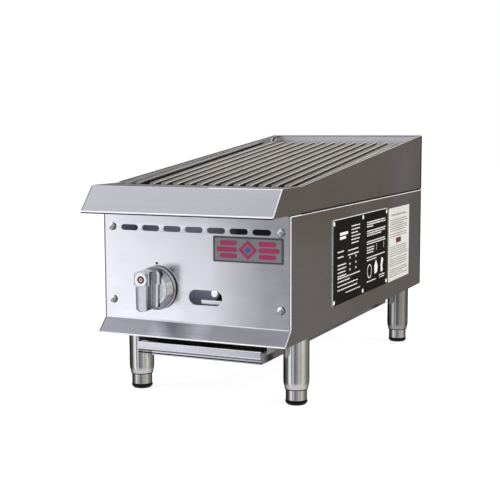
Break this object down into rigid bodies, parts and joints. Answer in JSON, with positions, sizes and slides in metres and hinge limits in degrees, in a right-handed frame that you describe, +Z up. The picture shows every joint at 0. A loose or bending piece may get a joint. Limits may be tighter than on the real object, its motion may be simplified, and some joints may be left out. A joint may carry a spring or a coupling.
{
  "type": "countertop gas charbroiler",
  "caption": "Countertop gas charbroiler with sloped cast-iron grates, a splash guard on three sides, a control knob, a slide-out drip tray and adjustable feet.",
  "frame": {"origin": "on the counter, under the middle of the whole appliance's box", "axes": "+Z up, -Y out of the control panel towards the cook, +X to the cook's right"},
  "size_m": [0.3071, 0.7524, 0.3907],
  "materials": {
    "stainless_sheet": "brushed along each panel, satin",
    "aluminised_sheet": "dull aluminised steel, heat-greyed",
    "leg_chrome": "polished",
    "grate_iron": "cast, ground on top",
    "pipe_steel": "black iron pipe",
    "valve_brass": "machined",
    "foot_rubber": "matte",
    "plate_black": "printed aluminium plate, satin",
    "label_white": "printed film",
    "badge_metal": "etched, satin"
  },
  "bodies": {
    "cabinet": {"left_side_panel": "stainless_sheet", "right_side_panel": "stainless_sheet", "back_panel": "stainless_sheet", "control_panel": "stainless_sheet", "front_apron": "stainless_sheet", "front_lip": "stainless_sheet", "left_splash_guard": "stainless_sheet", "right_splash_guard": "stainless_sheet", "back_splash_guard": "stainless_sheet", "grease_trough": "stainless_sheet", "bottom_pan": "aluminised_sheet", "left_heat_shield": "aluminised_sheet", "right_heat_shield": "aluminised_sheet", "front_heat_shield": "aluminised_sheet", "rear_heat_shield": "aluminised_sheet", "front_grate_rest": "aluminised_sheet", "rear_grate_rest": "aluminised_sheet", "front_radiant_rest": "aluminised_sheet", "rear_radiant_rest": "aluminised_sheet", "front_burner_bracket": "aluminised_sheet", "rear_burner_bracket": "aluminised_sheet", "burner": "aluminised_sheet", "pilot_tube": "aluminised_sheet", "pilot_burner": "aluminised_sheet", "left_tray_rail": "aluminised_sheet", "right_tray_rail": "aluminised_sheet", "left_radiant": "grate_iron", "right_radiant": "grate_iron", "manifold_pipe": "pipe_steel", "gas_inlet": "pipe_steel", "gas_valve_body": "valve_brass", "orifice_hood": "valve_brass", "pilot_valve": "valve_brass", "panel_screw_1": "leg_chrome", "panel_screw_2": "leg_chrome", "panel_screw_3": "leg_chrome", "panel_screw_4": "leg_chrome", "front_left_leg": "leg_chrome", "front_right_leg": "leg_chrome", "rear_left_leg": "leg_chrome", "rear_right_leg": "leg_chrome", "data_plate": "plate_black", "side_label": "label_white", "name_badge": "badge_metal"},
    "knob": {"control_knob": "leg_chrome", "valve_stem": "valve_brass"},
    "tray": {"drip_tray": "stainless_sheet"},
    "left_grate_body": {"left_grate": "grate_iron"},
    "right_grate_body": {"right_grate": "grate_iron"},
    "shutter": {"air_shutter": "aluminised_sheet"},
    "pilot_adjuster": {"pilot_screw": "valve_brass"},
    "front_left_foot_body": {"front_left_foot": "leg_chrome", "front_left_foot_pad": "foot_rubber"},
    "front_right_foot_body": {"front_right_foot": "leg_chrome", "front_right_foot_pad": "foot_rubber"},
    "rear_left_foot_body": {"rear_left_foot": "leg_chrome", "rear_left_foot_pad": "foot_rubber"},
    "rear_right_foot_body": {"rear_right_foot": "leg_chrome", "rear_right_foot_pad": "foot_rubber"}
  },
  "joints": [
    {"name": "knob_turn", "type": "hinge", "parent": "cabinet", "child": "knob", "pos_m": [-0.0615, -0.33285, 0.173], "axis": [0, -1, 0], "range_deg": [0, 90]},
    {"name": "tray_slide", "type": "slide", "parent": "cabinet", "child": "tray", "axis": [0, -1, 0], "range_m": [0, 0.45]},
    {"name": "left_grate_lift", "type": "slide", "parent": "cabinet", "child": "left_grate_body", "axis": [0, 0, 1], "range_m": [0, 0.12]},
    {"name": "right_grate_lift", "type": "slide", "parent": "cabinet", "child": "right_grate_body", "axis": [0, 0, 1], "range_m": [0, 0.12]},
    {"name": "shutter_turn", "type": "hinge", "parent": "cabinet", "child": "shutter", "pos_m": [-0.0615, -0.23985, 0.173], "axis": [0, -1, 0], "range_deg": [0, 60]},
    {"name": "pilot_screw_turn", "type": "hinge", "parent": "cabinet", "child": "pilot_adjuster", "pos_m": [0.025, -0.29485, 0.167], "axis": [0, -1, 0], "range_deg": [-360, 360]},
    {"name": "front_left_foot_level", "type": "slide", "parent": "cabinet", "child": "front_left_foot_body", "axis": [0, 0, 1], "range_m": [-0.012, 0.018]},
    {"name": "front_right_foot_level", "type": "slide", "parent": "cabinet", "child": "front_right_foot_body", "axis": [0, 0, 1], "range_m": [-0.012, 0.018]},
    {"name": "rear_left_foot_level", "type": "slide", "parent": "cabinet", "child": "rear_left_foot_body", "axis": [0, 0, 1], "range_m": [-0.012, 0.018]},
    {"name": "rear_right_foot_level", "type": "slide", "parent": "cabinet", "child": "rear_right_foot_body", "axis": [0, 0, 1], "range_m": [-0.012, 0.018]}
  ]
}
